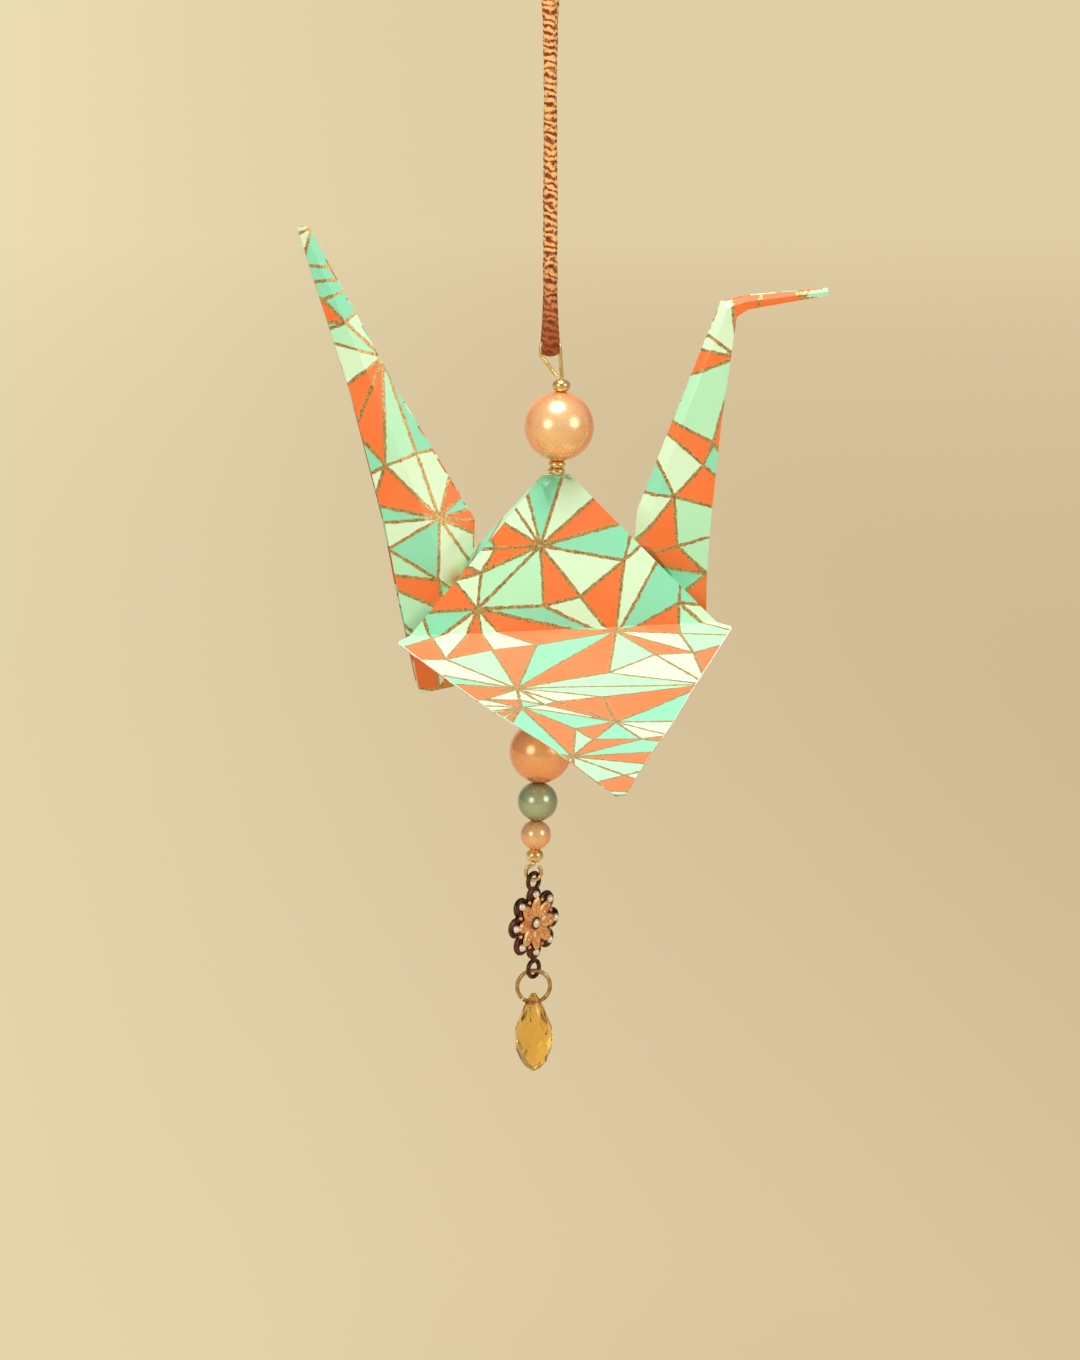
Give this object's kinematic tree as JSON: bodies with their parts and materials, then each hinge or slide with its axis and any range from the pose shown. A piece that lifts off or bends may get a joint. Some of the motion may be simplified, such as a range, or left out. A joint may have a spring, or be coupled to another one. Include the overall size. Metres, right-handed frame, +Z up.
{
  "type": "origami crane ornament",
  "caption": "Folded paper crane strung on a beaded wire, with a flower link and a faceted glass drop below, hung from a doubled satin cord.",
  "frame": {"origin": "hanging point between the two halves of the cord, just under its knot", "axes": "+Z up along the cord, +X towards the crane's beak, -Y towards the viewer of the picture"},
  "size_m": [0.0998, 0.1578, 0.2369],
  "materials": {
    "printed_paper": "satin print with gold lines",
    "satin_cord": "satin",
    "gold_wire": "polished",
    "orange_pearl": "pearl coat",
    "green_pearl": "pearl coat",
    "peach_pearl": "pearl coat",
    "flower_metal": "antique copper and dark brown",
    "ring_metal": "polished",
    "amber_glass": "clear faceted"
  },
  "bodies": {
    "hanger": {"cord_front": "satin_cord", "cord_back": "satin_cord", "cord_knot": "satin_cord"},
    "strand": {"wire_pin": "gold_wire", "upper_spacer": "gold_wire", "upper_pearl": "orange_pearl", "ring_spacer_top": "gold_wire", "ring_spacer_bottom": "gold_wire", "paper_crane": "printed_paper", "stop_crimp": "gold_wire", "lower_pearl": "orange_pearl", "green_pearl": "green_pearl", "peach_pearl": "peach_pearl", "gold_bead": "gold_wire"},
    "link": {"flower_link": "flower_metal"},
    "ring": {"jump_ring": "ring_metal"},
    "drop": {"glass_drop": "amber_glass"}
  },
  "joints": [
    {"name": "eye_swing", "type": "hinge", "parent": "hanger", "child": "strand", "pos_m": [0, 0, -0.0785], "axis": [1, 0, 0], "range_deg": [-60, 60]},
    {"name": "link_swing", "type": "hinge", "parent": "strand", "child": "link", "pos_m": [-0.00318, 0, -0.18063], "axis": [0, -1, 0], "range_deg": [-60, 60]},
    {"name": "ring_swing", "type": "hinge", "parent": "link", "child": "ring", "pos_m": [-0.00318, 0, -0.19988], "axis": [0.6756, -0.7373, 0], "range_deg": [-50, 50]},
    {"name": "drop_swing", "type": "hinge", "parent": "ring", "child": "drop", "pos_m": [-0.00318, 0, -0.20665], "axis": [1, 0, 0], "range_deg": [-50, 50]}
  ]
}
